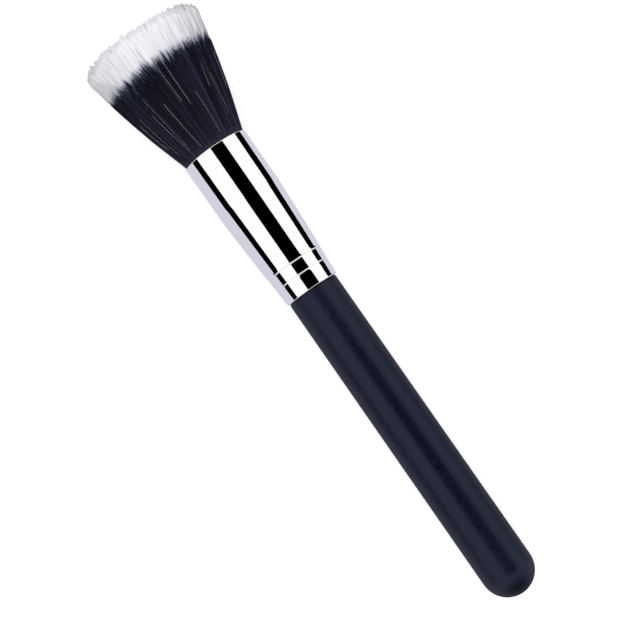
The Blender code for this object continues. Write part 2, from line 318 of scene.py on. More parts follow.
@dataclass(frozen=True)
class SatinPaint:
    """The handle's dark blue paint: satin, faintly mottled, with a fine orange peel."""

    axis: BrushAxis
    plain: Colour = (0.0017, 0.0027, 0.0086)
    deep: Colour = (0.0009, 0.0018, 0.0066)
    blue: Colour = (0.0030, 0.0062, 0.0150)
    violet: Colour = (0.0058, 0.0046, 0.0140)
    glint: Colour = (0.535, 0.605, 1.0)
    shine: float = 0.49
    roughness: float = 0.31
    roughness_spread: float = 0.035
    edge_roughness: float = 0.45
    cloud_size: float = 0.0030
    mottle_size: float = 0.0008
    pearl_size: float = 0.00026
    blotch_ends: tuple[float, float] = (0.36, 0.66)
    peel_size: float = 0.0006
    peel_depth: float = 0.000008

    def material(self) -> bpy.types.Material:
        """Builds the paint.

        Returns:
            The material.
        """
        tree = NodeTree(bpy.data.materials.new("navy_satin_paint"))
        place = tree.brush_place(self.axis)
        cloud, mottle, pearl = (
            tree.spread(tree.noise(place, size), 0.0, 1.0, self.blotch_ends)
            for size in (self.cloud_size, self.mottle_size, self.pearl_size)
        )
        pale = tree.blend(cloud, self.blue, self.violet)
        share = tree.math("MULTIPLY", mottle, pearl)
        low, high = self.roughness - self.roughness_spread, self.roughness + self.roughness_spread
        grazed = tree.add("ShaderNodeLayerWeight").outputs["Facing"]
        veil = tree.math("MULTIPLY", grazed, self.edge_roughness)
        return tree.surface(
            self.plain,
            {
                "Base Color": tree.blend(share, self.deep, pale),
                "Roughness": tree.math("ADD", tree.spread(mottle, low, high), veil),
                "Specular IOR Level": self.shine,
                "Specular Tint": (*self.glint, 1),
                "Normal": tree.relief(tree.noise(place, self.peel_size), self.peel_depth),
            },
        )


@dataclass(frozen=True)
class PolishedChrome:
    """The ferrule's plating: a mirror with the faintest rubbing round the tube."""

    axis: BrushAxis
    colour: Colour = (0.985, 0.985, 0.990)
    smooth: float = 0.012
    rubbed: float = 0.030
    rub_length: float = 0.0120
    rub_width: float = 0.0006

    def material(self) -> bpy.types.Material:
        """Builds the plating.

        Returns:
            The material.
        """
        tree = NodeTree(bpy.data.materials.new("polished_chrome"))
        stretch = (self.rub_width / self.rub_length, 1, 1)
        rubbing = tree.noise(tree.brush_place(self.axis, stretch), self.rub_length)
        return tree.surface(
            self.colour,
            {"Metallic": 1.0, "Roughness": tree.spread(rubbing, self.smooth, self.rubbed)},
        )


@dataclass(frozen=True)
class FibreFinish:
    """One kind of fibre: its colours from root to tip and how much single fibres differ."""

    name: str
    plain: Colour
    stops: Stops
    tinted: Colour
    tint_share: float
    roughness: float
    shine: float
    sheen: float

    def material(self) -> bpy.types.Material:
        """Builds the fibre's material, which reads the values that each fibre carries.

        Returns:
            The material.
        """
        tree = NodeTree(bpy.data.materials.new(self.name))
        height, tone = (
            tree.add("ShaderNodeAttribute", attribute_name=layer.value).outputs["Fac"]
            for layer in (Layer.HEIGHT, Layer.TONE)
        )
        tint = tree.math("MULTIPLY", tone, self.tint_share)
        return tree.surface(
            self.plain,
            {
                "Base Color": tree.blend(tint, tree.ramp(height, self.stops), self.tinted),
                "Roughness": self.roughness,
                "Specular IOR Level": self.shine,
                "Sheen Weight": self.sheen,
            },
        )


DARK_HAIR = FibreFinish(
    name="dark_goat_hair",
    plain=(0.011, 0.012, 0.024),
    stops=(
        (0.0, (0.050, 0.046, 0.076)),
        (0.055, (0.0160, 0.0154, 0.0340)),
        (0.16, (0.0098, 0.0094, 0.0205)),
        (0.30, (0.0062, 0.0064, 0.0160)),
        (0.60, (0.0056, 0.0056, 0.0160)),
        (0.75, (0.0110, 0.0150, 0.0460)),
    ),
    tinted=(0.062, 0.064, 0.124),
    tint_share=0.8,
    roughness=0.5,
    shine=0.12,
    sheen=0.0,
)
WHITE_FILAMENT = FibreFinish(
    name="white_filament",
    plain=(0.94, 0.92, 0.96),
    # Below the dark fibres' tips the ramp paints the white filament grey and lavender: painted shade of
    # the dark bundle that it runs through.
    stops=(
        (0.0, (0.40, 0.40, 0.48)),
        (0.55, (0.52, 0.52, 0.60)),
        (0.72, (0.68, 0.69, 0.86)),
        (0.76, (0.95, 0.93, 0.97)),
        (1.0, (0.95, 0.93, 0.97)),
    ),
    tinted=(0.88, 0.86, 0.92),
    tint_share=0.25,
    roughness=0.5,
    shine=0.5,
    sheen=0.5,
)


@dataclass(frozen=True)
class SetResin:
    """Resin that has set in a pool: clear or white, with a few soft ripples."""

    name: str
    deep: Colour
    pale: Colour
    roughness: float
    depth_light: float
    ripple_size: float = 0.0020
    ripple_depth: float = 0.00004

    def material(self) -> bpy.types.Material:
        """Builds the resin.

        Returns:
            The material.
        """
        tree = NodeTree(bpy.data.materials.new(self.name))
        place = tree.add("ShaderNodeTexCoord").outputs["Object"]
        ripples = tree.noise(place, self.ripple_size)
        return tree.surface(
            self.pale,
            {
                "Base Color": tree.blend(ripples, self.deep, self.pale),
                "Roughness": self.roughness,
                "Subsurface Weight": self.depth_light,
                "Subsurface Scale": self.ripple_size,
                "Normal": tree.relief(ripples, self.ripple_depth),
            },
        )


AMBER_RESIN = SetResin(
    name="amber_resin",
    deep=(0.30, 0.20, 0.07),
    pale=(0.52, 0.40, 0.20),
    roughness=0.22,
    depth_light=0.4,
)
WOOD_GLUE = SetResin(
    name="wood_glue",
    deep=(0.62, 0.60, 0.52),
    pale=(0.74, 0.72, 0.65),
    roughness=0.45,
    depth_light=0.2,
)


@dataclass(frozen=True)
class TwistedCotton:
    """The binding thread: matt cotton with its plies lying across the turns."""

    axis: BrushAxis
    colour: Colour = (0.60, 0.57, 0.50)
    shade: Colour = (0.36, 0.33, 0.28)
    roughness: float = 0.9
    ply_width: float = 0.00022
    ply_slant: float = 0.9
    ply_waver: float = 1.0
    ply_depth: float = 0.00003

    def material(self) -> bpy.types.Material:
        """Builds the thread's cotton.

        Returns:
            The material.
        """
        tree = NodeTree(bpy.data.materials.new("twisted_cotton"))
        place = tree.brush_place(self.axis)
        slanted = tree.add("ShaderNodeMapping", {"Vector": place, "Rotation": (0, 0, self.ply_slant)})
        inputs = {
            "Vector": slanted.outputs["Vector"],
            "Scale": 1 / self.ply_width,
            "Distortion": self.ply_waver,
        }
        plies = tree.add("ShaderNodeTexWave", inputs, bands_direction="Y").outputs["Fac"]
        return tree.surface(
            self.colour,
            {
                # The grooves between the plies are painted in the shade colour: painted shade.
                "Base Color": tree.blend(plies, self.shade, self.colour),
                "Roughness": self.roughness,
                "Normal": tree.relief(plies, self.ply_depth),
            },
        )


def arc(centre: tuple[float, float], radius: float, start: float, end: float, steps: int) -> Profile:
    """Points of an arc in the plane of a turned profile.

    Args:
        centre: The arc's middle, along the axis and away from it.
        radius: The arc's radius.
        start: The angle of the first point.
        end: The angle of the last point.
        steps: How many chords the arc has.

    Returns:
        The points, one more than the steps.
    """
    angles = [start + (end - start) * step / steps for step in range(steps + 1)]
    return [
        (centre[0] + radius * math.cos(angle), centre[1] + radius * math.sin(angle))
        for angle in angles
    ]


def turned(profile: Profile, closed: bool = False) -> bmesh.types.BMesh:
    """Turns a profile about the straight axis.

    Args:
        profile: Points along the axis and away from it.
        closed: True for a ring's section, False for one that starts and ends on the axis.

    Returns:
        The turned body, with its faces outwards.
    """
    bm = bmesh.new()
    points = [bm.verts.new((x, 0, radius)) for x, radius in profile]
    edges = [bm.edges.new(pair) for pair in zip(points, points[1:])]
    if closed:
        edges.append(bm.edges.new((points[-1], points[0])))
    bmesh.ops.spin(
        bm,
        geom=points + edges,
        cent=(0, 0, 0),
        axis=(1, 0, 0),
        angle=math.tau,
        steps=TURN_STEPS,
        use_merge=True,
    )
    bmesh.ops.remove_doubles(bm, verts=bm.verts, dist=POLE_MERGE)
    bmesh.ops.recalc_face_normals(bm, faces=bm.faces)
    return bm


def smooth_step(value: float, start: float, end: float) -> float:
    """Eases from 0 at the start to 1 at the end, and stays level beyond both."""
    share = min(max((value - start) / (end - start), 0), 1)
    return share * share * (3 - 2 * share)


def add_object(name: str, data: Any) -> bpy.types.Object:
    """Puts an object in the scene.

    Args:
        name: The object's name.
        data: Its mesh, lamp or camera.

    Returns:
        The object.
    """
    item = bpy.data.objects.new(name, data)
    bpy.context.scene.collection.objects.link(item)
    return item


def add_mesh(name: str, bm: bmesh.types.BMesh, material: bpy.types.Material) -> bpy.types.Object:
    """Puts a shape in the scene.

    Args:
        name: The object's name.
        bm: Its shape, already in place, which is used up.
        material: What it is made of.

    Returns:
        The object.
    """
    mesh = bpy.data.meshes.new(name)
    bm.to_mesh(mesh)
    bm.free()
    mesh.materials.append(material)
    return add_object(name, mesh)


def make_piece(
    name: str, bm: bmesh.types.BMesh, node: str, material: bpy.types.Material
) -> bpy.types.Object:
    """Makes a piece of the brush.

    Args:
        name: The piece's name.
        bm: Its shape, already in place, which is used up.
        node: The node of the frame that it stands for.
        material: What it is made of.

    Returns:
        The piece, riding on the brush.
    """
    piece = add_mesh(name, bm, material)
    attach(piece, BODY)
    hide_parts(node)
    LOG.info("%s: %d faces", name, len(piece.data.polygons))
    return piece


def make_turned(
    name: str,
    bm: bmesh.types.BMesh,
    axis: BrushAxis,
    node: str,
    material: bpy.types.Material,
) -> None:
    """Makes a turned piece of the brush, smooth apart from its sharp corners.

    Args:
        name: The piece's name.
        bm: Its shape on the straight axis, which is used up.
        axis: Where the brush lies.
        node: The node of the frame that it stands for.
        material: What it is made of.
    """
    bm.transform(axis.matrix)
    piece = make_piece(name, bm, node, material)
    piece.data.shade_smooth()
    piece.data.set_sharp_from_angle(angle=SHARP_ANGLE)


@dataclass(frozen=True)
class Handle:
    """The turned and painted stick, with its tenon."""

    axis: BrushAxis
    radius: float
    length: float
    tenon_end: float
    shoulder_radius: float = 0.0075
    shoulder_round: float = 0.00012
    butt_flat_radius: float = 0.0015
    tenon_radius: float = 0.00725
    tenon_chamfer: float = 0.0008
    dome_steps: int = 28
    round_steps: int = 3
    round_profile: float = 0.5

    def profile(self) -> Profile:
        """Draws the stick's outline.

        Returns:
            Its points from the middle of the butt to the end of the tenon.
        """
        flat_edge = math.pi - math.asin(self.butt_flat_radius / self.radius)
        centre = math.sqrt(self.radius**2 - self.butt_flat_radius**2)
        dome = arc((centre, 0), self.radius, flat_edge, math.pi / 2, self.dome_steps)
        return [
            (0, 0),
            *dome,
            (self.length, self.shoulder_radius),
            (self.length, self.tenon_radius),
            (self.tenon_end - self.tenon_chamfer, self.tenon_radius),
            (self.tenon_end, self.tenon_radius - self.tenon_chamfer),
            (self.tenon_end, 0),
        ]

    def build(self) -> None:
        """Turns the stick and rounds its shoulder."""
        bm = turned(self.profile())
        corner = Vector((self.length, self.shoulder_radius))
        shoulder = [
            edge
            for edge in bm.edges
            if all(
                (Vector((vertex.co.x, vertex.co.yz.length)) - corner).length < self.shoulder_round
                for vertex in edge.verts
            )
        ]
        bmesh.ops.bevel(
            bm,
            geom=shoulder,
            offset=self.shoulder_round,
            affect="EDGES",
            segments=self.round_steps,
            profile=self.round_profile,
            material=-1,
        )
        paint = SatinPaint(self.axis).material()
        make_turned("handle_stick", bm, self.axis, "handle", paint)


@dataclass(frozen=True)
class Ferrule:
    """The drawn and chromed tube, with its two rolled crimps and its rounded ends."""

    axis: BrushAxis
    foot: float
    length: float
    foot_radius: float = 0.0080
    mouth_radius: float = 0.00975
    wall: float = 0.00045
    taper_length: float = 0.0300
    steps: int = 72
    bulge_share: float = 0.3
    crimp_heights: tuple[float, ...] = (0.00495, 0.00866)
    crimp_width: float = 0.00038
    crimp_depth: float = 0.00007
    crimp_steps: int = 12
    shoulder_width: float = 0.0007
    shoulder_depth: float = 0.00005
    edge_width: float = 0.00004
    lip_steps: int = 10

    def dip(self, away: float, half_width: float, depth: float) -> float:
        """Depth of a smooth groove at a distance from its middle, and 0 past its half width."""
        share = min(away / half_width, 1)
        return depth * (1 + math.cos(math.pi * share)) / 2

    def radius(self, height: float) -> float:
        """Outside radius of the tube.

        Args:
            height: How far above the foot.

        Returns:
            The radius there, with the crimps and the soft step outside each.
        """
        share = min(height / self.taper_length, 1)
        swell = share + self.bulge_share * share * (1 - share)
        radius = self.foot_radius + (self.mouth_radius - self.foot_radius) * swell
        for crimp in self.crimp_heights:
            radius -= self.dip(abs(height - crimp), self.crimp_width / 2, self.crimp_depth)
        low, high = self.crimp_heights[0], self.crimp_heights[-1]
        outside = max(low - height, height - high, 0)
        return radius - self.dip(outside, self.shoulder_width, self.shoulder_depth)

    def stations(self) -> list[float]:
        """Sets out the profile's points: even, but close together at the crimps and the ends.

        Returns:
            Their heights above the foot, in order.
        """
        low, high = self.wall / 2, self.length - self.wall / 2
        rolled_from = self.crimp_heights[0] - self.shoulder_width
        rolled_to = self.crimp_heights[-1] + self.shoulder_width
        steps = math.ceil((rolled_to - rolled_from) / self.crimp_width * self.crimp_steps)
        rolled = [rolled_from + (rolled_to - rolled_from) * step / steps for step in range(steps + 1)]
        even = [low + self.edge_width + (high - low) * step / self.steps for step in range(self.steps)]
        plain = [height for height in even if not rolled_from <= height <= rolled_to]
        return [low, *sorted(plain + rolled), high - self.edge_width, high]

    def build(self) -> None:
        """Turns the tube."""
        half = self.wall / 2
        quarter = math.pi / 2
        outside = [(self.foot + height, self.radius(height)) for height in self.stations()]
        inside = [(x, radius - self.wall) for x, radius in reversed(outside)]
        mouth = (outside[-1][0], outside[-1][1] - half)
        foot = (outside[0][0], outside[0][1] - half)
        lip = arc(mouth, half, quarter, -quarter, self.lip_steps)
        hem = arc(foot, half, 3 * quarter, quarter, self.lip_steps)
        bm = turned(outside + lip[1:-1] + inside + hem[1:-1], closed=True)
        chrome = PolishedChrome(self.axis).material()
        make_turned("ferrule_tube", bm, self.axis, "ferrule", chrome)


@dataclass(frozen=True)
class HeadShape:
    """The form that all the fibres fill together, with heights above the ferrule's mouth.

    Its skin, flare and crown say which way that form's surface faces for the light.
    """

    axis: BrushAxis
    mouth: float
    dark_end: float
    white_end: float
    rim_radius: float
    root_depth: float = 0.0034
    packed_radius: float = 0.00925
    dark_room: float = 0.0001
    white_room: float = 0.0012
    rim_below_face: float = 0.0014
    swell_share: float = 0.27
    face_round: float = 0.0012
    face_round_share: float = 0.88
    flare_share: float = 0.22
    skin_shares: tuple[float, float] = (0.50, 0.95)
    sideways_power: int = 2
    crown_share: float = 0.6
    crown_depths: tuple[float, float] = (0.0015, 0.0005)

    @property
    def dark_height(self) -> float:
        """Mean height of the dark fibres' tips, with room for the longest below their end."""
        return self.dark_end - self.mouth - self.dark_room

    @property
    def face_height(self) -> float:
        """Mean height of the white fibres' tips, with room for the longest below their end."""
        return self.white_end - self.mouth - self.white_room

    def radius(self, height: float) -> float:
        """Radius of the whole head.

        Args:
            height: How far above the mouth, below which the fibres lie packed and parallel.

        Returns:
            The radius there.
        """
        share = min(max(height / (self.face_height - self.rim_below_face), 0), 1)
        swell = share + self.swell_share * share * (1 - share)
        return self.packed_radius + (self.rim_radius - self.packed_radius) * swell

    def face(self, ring_share: float) -> float:
        """Height of the stippling face at a share of the way to its rim, where it rounds off."""
        beyond = max(ring_share - self.face_round_share, 0) / (1 - self.face_round_share)
        return self.face_height - self.face_round * beyond**2

    def outward(self, straight: Vector) -> Vector:
        """The direction that the head's surface faces near a place.

        Args:
            straight: A place in the head, on the straight axis.

        Returns:
            Sideways on the outside, and towards the stippling face at the tips and deep inside.
        """
        height = straight.x - self.mouth
        aside = straight.yz / self.radius(height)
        outer = smooth_step(aside.length, *self.skin_shares)
        top = self.face(min(aside.length, 1))
        crown = smooth_step(height, top - self.crown_depths[0], top - self.crown_depths[1])
        below = 1 - outer - self.flare_share * outer
        ahead = below + (self.crown_share - below) * crown
        sideways = aside * aside.length**self.sideways_power
        return Vector((ahead, *sideways)).normalized()

    def point(self, seat: Vector, height: float, thickness: float) -> Vector:
        """A fibre's place in the frame, resting on the floor where it would reach below it.

        Args:
            seat: Its place across the head, where 1 away from the middle is the outside.
            height: How far above the mouth.
            thickness: The fibre's radius.

        Returns:
            The point.
        """
        radius = self.radius(height) - thickness
        straight = Vector((self.mouth + height, radius * seat.x, radius * seat.y))
        place = self.axis.matrix @ straight
        place.z = max(place.z, thickness)
        return place


@dataclass(frozen=True)
class Strand:
    """One fibre: its points, its radii and height shares there, how it is turned and its tone."""

    points: tuple[Vector, ...]
    radii: tuple[float, ...]
    heights: tuple[float, ...]
    turn: float
    tone: float


@dataclass(frozen=True)
class Tuft:
    """A few fibres that gather to one point, and how much longer they are than others."""

    seat: Vector
    longer: float


@dataclass(frozen=True)
class FibreKind:
    """How one kind of fibre grows, and the node, slot and finish that it has.

    The radii are those at the root, at the ferrule's mouth and at each station share of the length.
    A kind with an inset share below 1 keeps inside the head and comes out to its surface between the
    two surface heights.
    """

    node: str
    slot: Slot
    finish: FibreFinish
    count: int
    crowding_power: float
    tufts: int
    gather_share: float
    gather_from_share: float
    tuft_spread: float
    tuft_point: float
    length_spread: float
    wander_share: float
    station_shares: tuple[float, ...]
    radii: tuple[float, ...]
    streak_shares: tuple[float, ...]
    streak_blend: float
    seed: int
    inset_share: float = 1.0
    surface_from: float = 0.0208
    surface_at: float = 0.0298
    surface_spread: float = 0.0
    soft_share: float = 0.0
    slip_share: float = 0.5
    peak_share: float = 0.5
    tone_power: int = 3


DARK_KIND = FibreKind(
    node="dark_fibres",
    slot=Slot.DARK_HAIR,
    finish=DARK_HAIR,
    count=20000,
    crowding_power=0.36,
    tufts=1300,
    gather_share=0.80,
    gather_from_share=0.66,
    tuft_spread=0.0006,
    tuft_point=0.0024,
    length_spread=0.0005,
    wander_share=0.014,
    station_shares=(0.45, 0.75, 0.90, 1.0),
    radii=(0.000045, 0.000045, 0.000052, 0.000050, 0.000042, 0.000010),
    streak_shares=(0.022, 0.055, 0.14),
    streak_blend=0.72,
    seed=11,
)
WHITE_KIND = FibreKind(
    node="white_fibres",
    slot=Slot.WHITE_FILAMENT,
    finish=WHITE_FILAMENT,
    count=22000,
    crowding_power=0.42,
    tufts=2800,
    gather_share=0.30,
    gather_from_share=0.93,
    tuft_spread=0.00042,
    tuft_point=0.0009,
    length_spread=0.00050,
    wander_share=0.005,
    station_shares=(0.40, 0.66, 0.80, 0.955, 0.993, 1.0),
    radii=(0.000034, 0.000034, 0.000038, 0.000070, 0.000115, 0.000140, 0.000180, 0.000060),
    streak_shares=(0.03,),
    streak_blend=0.5,
    seed=23,
    inset_share=0.84,
    surface_spread=0.0012,
    soft_share=0.96,
)


@dataclass(frozen=True)
class StrayKind:
    """How single fibres lie on the outside of the head, with angles round it."""

    radius: float = 0.000026
    thinnest_share: float = 0.6
    low_power: int = 3
    highest_start_share: float = 0.5
    shortest_share: float = 0.5
    lean: float = 0.05
    curl: float = 0.012
    proud_share: float = 1.004
    sink_share: float = 0.03
    sink_power: int = 4


def sunflower(count: int, crowding_power: float = 0.5) -> Iterator[Vector]:
    """Places spread over a round of radius 1, from its middle outwards.

    Args:
        count: How many places.
        crowding_power: 0.5 for places spread evenly, and less for more of them outside.

    Yields:
        Each place across the round.
    """
    for number in range(count):
        away = ((number + 0.5) / count) ** crowding_power
        yield Vector((away * math.cos(number * GOLDEN_TURN), away * math.sin(number * GOLDEN_TURN)))


def draw_strands(strands: Sequence[Strand], turn: Matrix) -> bmesh.types.BMesh:
    """Draws all strands at once, each out of a three-sided root, point by point.

    Args:
        strands: The strands, which all have as many points.
        turn: Turns the straight axis into the brush's direction.

    Returns:
        The strands as closed bodies.
    """
    bm = bmesh.new()
    # A loose triangle for each strand comes first, and its corners are then moved to the root.
    bmesh.ops.create_grid(bm, x_segments=math.ceil(len(strands) / 2), y_segments=1, size=1)
    bmesh.ops.triangulate(bm, faces=bm.faces)
    bmesh.ops.split_edges(bm, edges=bm.edges)
    bmesh.ops.delete(bm, geom=list(bm.faces)[len(strands) :], context="FACES")
    owner = bm.faces.layers.int.new("owner")
    corner = bm.verts.layers.int.new("corner")
    tone = bm.verts.layers.float.new(Layer.TONE.value)
    height = bm.verts.layers.float.new(Layer.HEIGHT.value)
    for number, face in enumerate(bm.faces):
        face[owner] = number
        for place, vertex in enumerate(face.verts):
            vertex[corner] = place
            vertex[tone] = strands[number].tone
    roots = list(bm.edges)
    ends = list(bm.faces)
    for station in range(len(strands[0].points)):
        if station > 0:
            ends = bmesh.ops.extrude_discrete_faces(bm, faces=ends)["faces"]
        for face in ends:
            strand = strands[face[owner]]
            radius = strand.radii[station]
            for vertex in face.verts:
                angle = strand.turn + math.tau * vertex[corner] / STRAND_SIDES
                aside = turn @ Vector((0, math.cos(angle), math.sin(angle)))
                vertex.co = strand.points[station] + aside * radius
                vertex[height] = strand.heights[station]
    bmesh.ops.holes_fill(bm, edges=roots, sides=STRAND_SIDES)
    bmesh.ops.recalc_face_normals(bm, faces=bm.faces)
    for face in bm.faces:
        face.smooth = True
    bm.faces.layers.int.remove(owner)
    bm.verts.layers.int.remove(corner)
    return bm


@dataclass(frozen=True)
class FibreRoot:
    """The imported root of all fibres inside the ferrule, with its bound foot in the glue."""

    axis: BrushAxis
    start: float
    glue_top: float
    thread_end: float
    mouth: float
    knot_radius: float = 0.0074
    waist_radius: float = 0.0068
    packed_radius: float = 0.0090
    flare_length: float = 0.0026
    top_depth: float = 0.0028

    def build(self) -> None:
        """Turns the root."""
        waist_end = self.thread_end + SEAT_GAP
        top = self.mouth - self.top_depth
        profile = [
            (self.start, 0),
            (self.start, self.knot_radius),
            (self.glue_top, self.knot_radius),
            (self.glue_top, self.waist_radius),
            (waist_end, self.waist_radius),
            (waist_end, self.knot_radius),
            (waist_end + self.flare_length, self.packed_radius),
            (top, self.packed_radius),
            (top, 0),
        ]
        bm = turned(profile)
        # Both values stay 0, so that the root has the colour of the fibres' lower ends.
        for layer in Layer:
            bm.verts.layers.float.new(layer.value)
        hair = DARK_HAIR.material()
        make_turned("fibre_root", bm, self.axis, WHITE_KIND.node, hair)


@dataclass(frozen=True)
class FibreHead:
    """The head: short dark fibres and long white ones between them."""

    shape: HeadShape
    dark: FibreKind = DARK_KIND
    white: FibreKind = WHITE_KIND
    strays: StrayKind = StrayKind()
    stray_whites: int = 26
    stray_darks: int = 6

    def tufts(self, kind: FibreKind, draw: random.Random) -> tuple[KDTree, list[Tuft]]:
        """Sets out the tufts that a kind of fibre gathers in.

        Args:
            kind: The kind of fibre.
            draw: The source of chance.

        Returns:
            The tufts' places to search in, and the tufts.
        """
        tree = KDTree(kind.tufts)
        tufts = []
        for number, seat in enumerate(sunflower(kind.tufts)):
            slip = Vector((draw.uniform(-1, 1), draw.uniform(-1, 1)))
            seat += slip * kind.slip_share / math.sqrt(kind.tufts)
            tree.insert(seat.to_3d(), number)
            tufts.append(Tuft(seat, draw.gauss(0, kind.tuft_spread)))
        tree.balance()
        return tree, tufts

    def strand(
        self, kind: FibreKind, seat: Vector, tuft: Tuft, length: float, draw: random.Random
    ) -> Strand:
        """Lays one fibre from its root to its tip.

        Args:
            kind: The kind of fibre.
            seat: Its place across the head.
            tuft: The tuft that it leans towards.
            length: The height of its tip.
            draw: The source of chance.

        Returns:
            The fibre.
        """
        heights = (-self.shape.root_depth, 0.0, *(length * share for share in kind.station_shares))
        wander = Vector((draw.gauss(0, 1), draw.gauss(0, 1))) * kind.wander_share
        later = draw.gauss(0, kind.surface_spread)
        points = []
        for height, radius in zip(heights, kind.radii):
            share = max(height / length, 0)
            gathered = kind.gather_share * smooth_step(share, kind.gather_from_share, 1)
            across = seat + (tuft.seat - seat) * gathered + wander * share
            surfaced = smooth_step(height - later, kind.surface_from, kind.surface_at)
            across *= kind.inset_share + (1 - kind.inset_share) * surfaced
            if across.length > 1:
                across.normalize()
            points.append(self.shape.point(across, height, radius))
        shares = tuple(max(height / self.shape.face_height, 0) for height in heights)
        own_tone = draw.random() ** kind.tone_power
        streak = sum(noise.noise(seat.to_3d() / size) for size in kind.streak_shares)
        tone = own_tone + (min(max(streak, 0), 1) - own_tone) * kind.streak_blend
        flat_side_out = math.atan2(seat.y, seat.x) + math.pi
        turn = flat_side_out + draw.gauss(0, 1 - kind.soft_share)
        return Strand(tuple(points), kind.radii, shares, turn, tone)

    def grow(self, kind: FibreKind, reach: Callable[[float], float]) -> list[Strand]:
        """Lays all the fibres of a kind, from the middle of the head outwards.

        Args:
            kind: The kind of fibre.
            reach: Gives the height that the fibres reach at a share of the way to the rim.

        Returns:
            The fibres.
        """
        draw = random.Random(kind.seed)
        tree, tufts = self.tufts(kind, draw)
        tuft_radius = 1 / math.sqrt(kind.tufts)
        grown = []
        for seat in sunflower(kind.count, kind.crowding_power):
            _, number, away = tree.find(seat.to_3d())
            pointed = kind.tuft_point * (kind.peak_share - away / tuft_radius)
            shorter = abs(draw.gauss(0, kind.length_spread))
            length = reach(seat.length) + tufts[number].longer + pointed - shorter
            grown.append(self.strand(kind, seat, tufts[number], length, draw))
        return grown

    def stray(self, kind: FibreKind, count: int, lowest: float, highest: float) -> list[Strand]:
        """Lays single fibres that show on the outside of the head.

        Args:
            kind: The kind of fibre.
            count: How many.
            lowest: The least height of their lower ends.
            highest: The greatest height of their upper ends.

        Returns:
            The fibres.
        """
        draw = random.Random(kind.seed + count)
        look = self.strays
        steps = len(kind.radii) - 1
        strays = []
        for number in range(count):
            rise = draw.random() ** look.low_power * look.highest_start_share
            start = lowest + (highest - lowest) * rise
            end = start + (highest - start) * draw.uniform(look.shortest_share, 1)
            first = (number + draw.random()) * math.tau / count
            lean = draw.gauss(0, look.lean)
            curl = draw.gauss(0, look.curl)
            radius = look.radius * draw.uniform(look.thinnest_share, 1)
            points, shares = [], []
            for step in range(steps + 1):
                share = step / steps
                height = start + (end - start) * share
                angle = first + lean * share + curl * math.sin(math.pi * share)
                out = look.proud_share - look.sink_share * abs(2 * share - 1) ** look.sink_power
                seat = Vector((math.cos(angle), math.sin(angle))) * out
                points.append(self.shape.point(seat, height, radius))
                shares.append(height / self.shape.face_height)
            radii = (radius,) * (steps + 1)
            turn = draw.uniform(0, math.tau)
            strays.append(Strand(tuple(points), radii, tuple(shares), turn, 1.0))
        return strays

    def soften(self, piece: bpy.types.Object, share: float) -> None:
        """Turns normals outwards, so that light lies over fine fibres as over one soft surface.

        Args:
            piece: A piece with fibres.
            share: How far the normals turn, up to 1.
        """
        turn, back = self.shape.axis.turn, self.shape.axis.matrix.inverted()
        normals = []
        for vertex in piece.data.vertices:
            outward = turn @ self.shape.outward(back @ vertex.co)
            normals.append((vertex.normal * (1 - share) + outward * share).normalized())
        piece.data.normals_split_custom_set_from_vertices(normals)

    def lay(self, kind: FibreKind, strands: list[Strand]) -> None:
        """Makes the pieces of one kind of fibre, which together stand for its node.

        Args:
            kind: The kind of fibre.
            strands: Its fibres, from the middle of the head outwards.
        """
        material = kind.finish.material()
        strand_triangles = 2 * STRAND_SIDES * (len(strands[0].points) - 1) + 2
        parts = math.ceil(len(strands) * strand_triangles / PIECE_TRIANGLES)
        for part in range(parts):
            begin = len(strands) * part // parts
            end = len(strands) * (part + 1) // parts
            bm = draw_strands(strands[begin:end], self.shape.axis.turn)
            piece = make_piece(f"{kind.node}_{part + 1}", bm, kind.node, material)
            if kind.soft_share > 0:
                self.soften(piece, kind.soft_share)

    def build(self) -> None:
        """Grows the whole head."""
        shape = self.shape
        dark = self.grow(self.dark, lambda ring_share: shape.dark_height)
        dark += self.stray(self.dark, self.stray_darks, shape.dark_height, shape.face_height)
        self.lay(self.dark, dark)
        white = self.grow(self.white, shape.face)
        white += self.stray(self.white, self.stray_whites, 0.0, shape.dark_height)
        self.lay(self.white, white)


@dataclass(frozen=True)
class HiddenJoints:
    """What holds the brush together inside the ferrule, as the frame has it."""

    axis: BrushAxis

    def dress(self, nodes: dict[str, bpy.types.Object]) -> None:
        """Gives the glue and the binding their finishes.

        Args:
            nodes: The frame's nodes by name.
        """
        finishes = {
            "root_glue": AMBER_RESIN,
            "knot_tie_thread": TwistedCotton(self.axis),
            "tenon_glue": WOOD_GLUE,
        }
        for name, finish in finishes.items():
            node = nodes[name]
            node.data.materials.clear()
            node.data.materials.append(finish.material())
            LOG.info("%s: dressed", name)


@dataclass(frozen=True)
class Flag:
    """A black flag that the metal mirrors as a band: its angles round the brush from straight up.

    The taper is how much of its half width it loses for a full lean towards the head.
    """

    start: float
    end: float
    taper: float = 0.0


